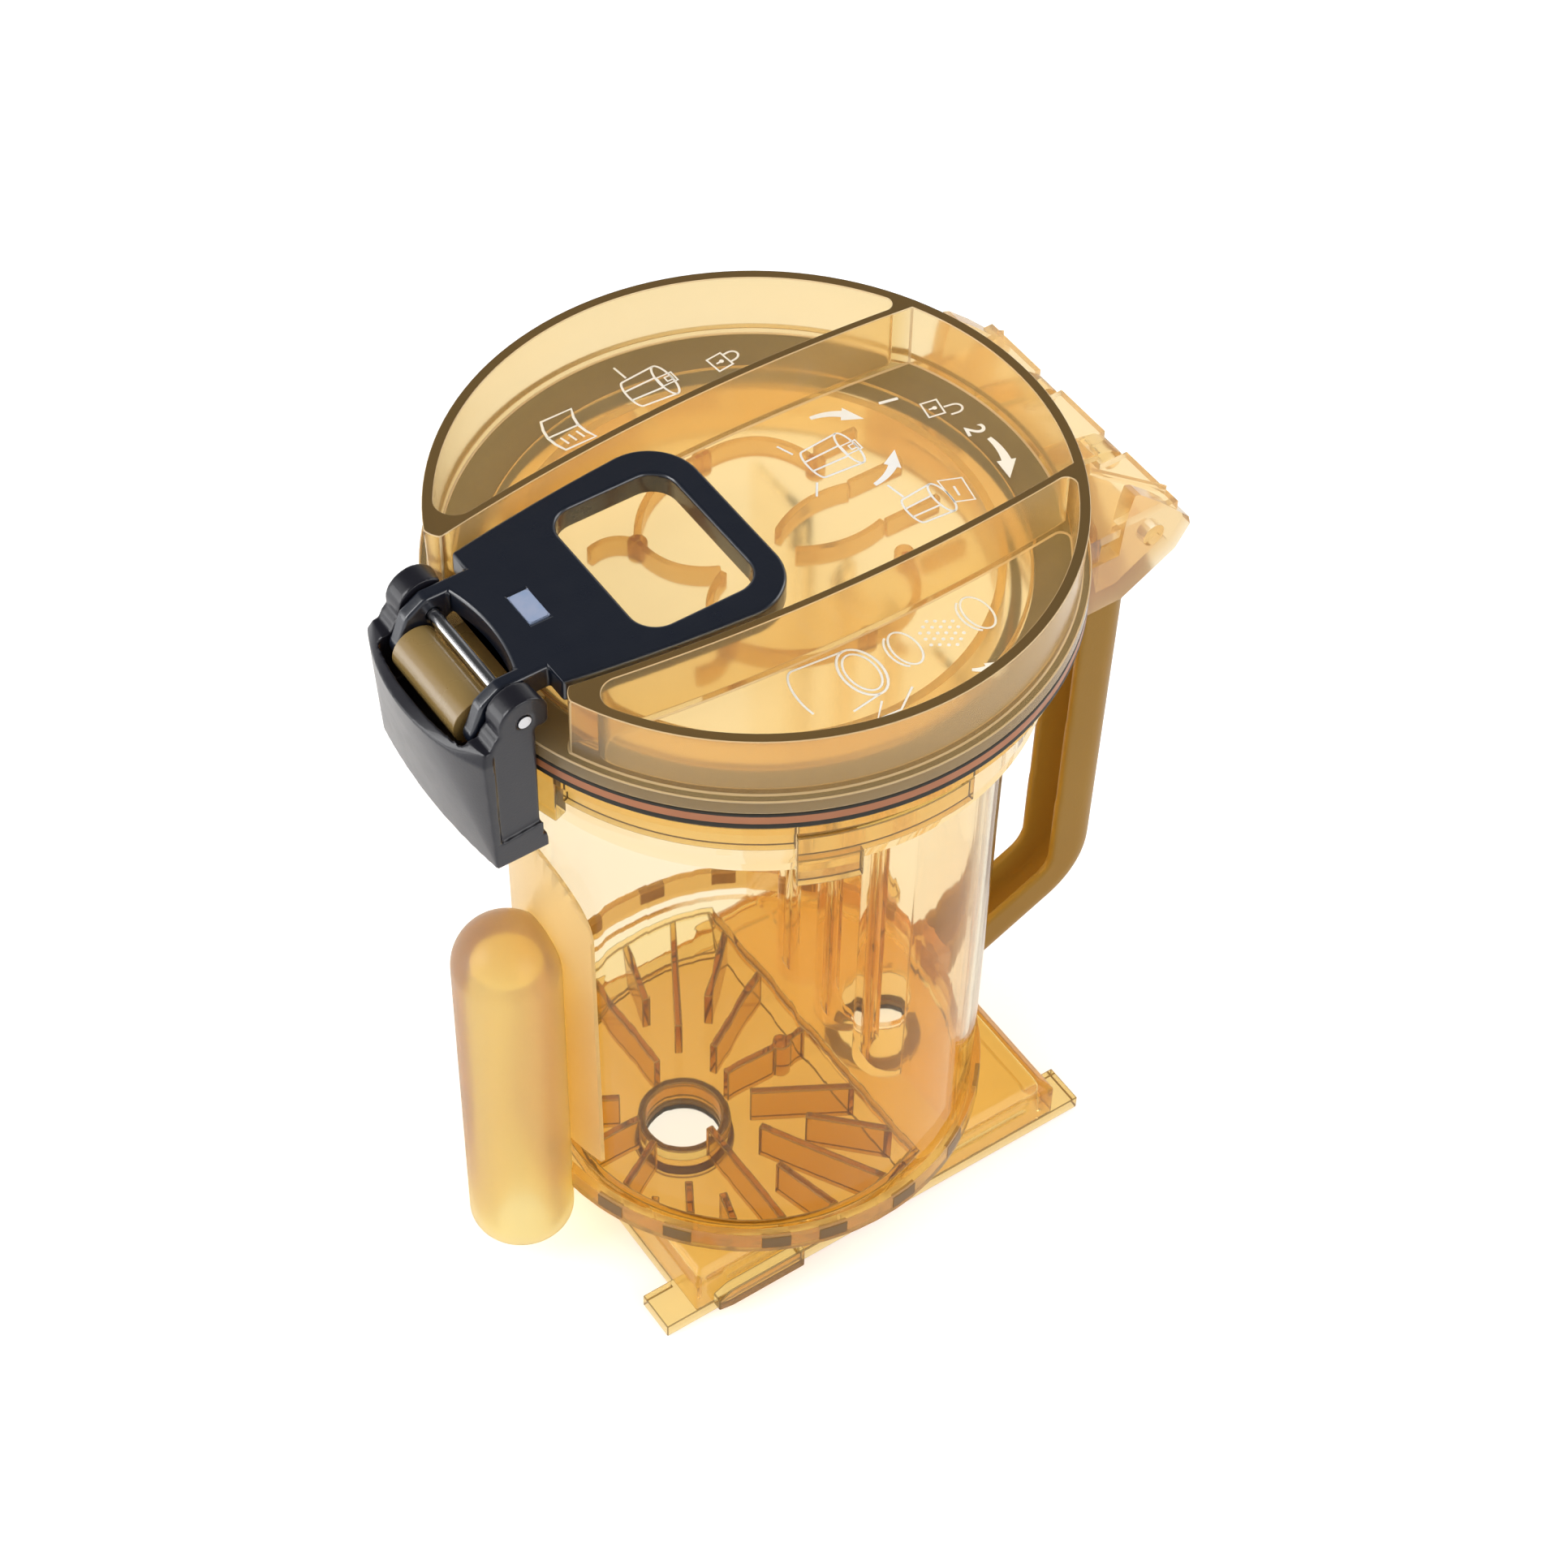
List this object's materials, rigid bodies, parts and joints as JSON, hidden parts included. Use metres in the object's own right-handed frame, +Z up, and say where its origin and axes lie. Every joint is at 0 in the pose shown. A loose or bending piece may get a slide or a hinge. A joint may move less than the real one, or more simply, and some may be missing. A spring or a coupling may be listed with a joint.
{
  "type": "absorbent canister",
  "caption": "Clear round absorbent canister with a side handle, slide-in plenum base and a hooked lid held down by a draw latch.",
  "frame": {"origin": "on the vessel axis, on the underside of the base plate", "axes": "+Z up along the vessel axis, +X towards the handle and the lid hooks, the latch at -X"},
  "size_m": [0.1912, 0.143, 0.2175],
  "materials": {
    "clear_plastic": "clear, polished",
    "amber_plastic": "clear amber",
    "frosted_plastic": "frosted amber",
    "olive_plastic": "dark translucent amber",
    "black_plastic": "satin black",
    "pale_plastic": "pale blue-grey",
    "seal_rubber": "matt",
    "steel": "bright turned"
  },
  "bodies": {
    "canister": {"base_plate": "olive_plastic", "plenum_box": "olive_plastic", "slide_rails": "olive_plastic", "basin_wall": "olive_plastic", "support_fins": "olive_plastic", "inlet_collar": "olive_plastic", "inlet_seal": "seal_rubber", "outlet_seal": "seal_rubber", "vessel_floor": "amber_plastic", "return_duct": "clear_plastic", "vessel_wall": "clear_plastic", "foot_ring": "frosted_plastic", "foot_lugs": "olive_plastic", "rim_collar": "clear_plastic", "collar_band": "clear_plastic", "collar_tabs": "amber_plastic", "latch_keeper": "amber_plastic", "side_column": "frosted_plastic", "column_pad": "frosted_plastic", "bracket": "amber_plastic", "handle": "frosted_plastic"},
    "lid": {"lid": "amber_plastic", "lid_spigot": "amber_plastic", "lid_ribs": "amber_plastic", "lid_gasket": "seal_rubber", "lid_hooks": "amber_plastic", "latch_lug": "amber_plastic", "pivot_pin": "steel"},
    "lever": {"lever": "black_plastic", "lever_inset": "pale_plastic", "claw_pin": "steel"},
    "claw": {"claw": "black_plastic"}
  },
  "joints": [
    {"name": "lid_hinge", "type": "hinge", "parent": "canister", "child": "lid", "pos_m": [0.085, 0, 0.193], "axis": [0, 1, 0], "range_deg": [0, 60]},
    {"name": "lever_pivot", "type": "hinge", "parent": "lid", "child": "lever", "pos_m": [-0.0762, 0, 0.2039], "axis": [0, -1, 0], "range_deg": [0, 120]},
    {"name": "claw_pivot", "type": "hinge", "parent": "lever", "child": "claw", "pos_m": [-0.0711, 0, 0.21], "axis": [0, -1, 0], "range_deg": [-132, 0]}
  ],
  "couplings": [
    {"joint": "claw_pivot", "follows": "lever_pivot", "ratio": -1.1}
  ]
}
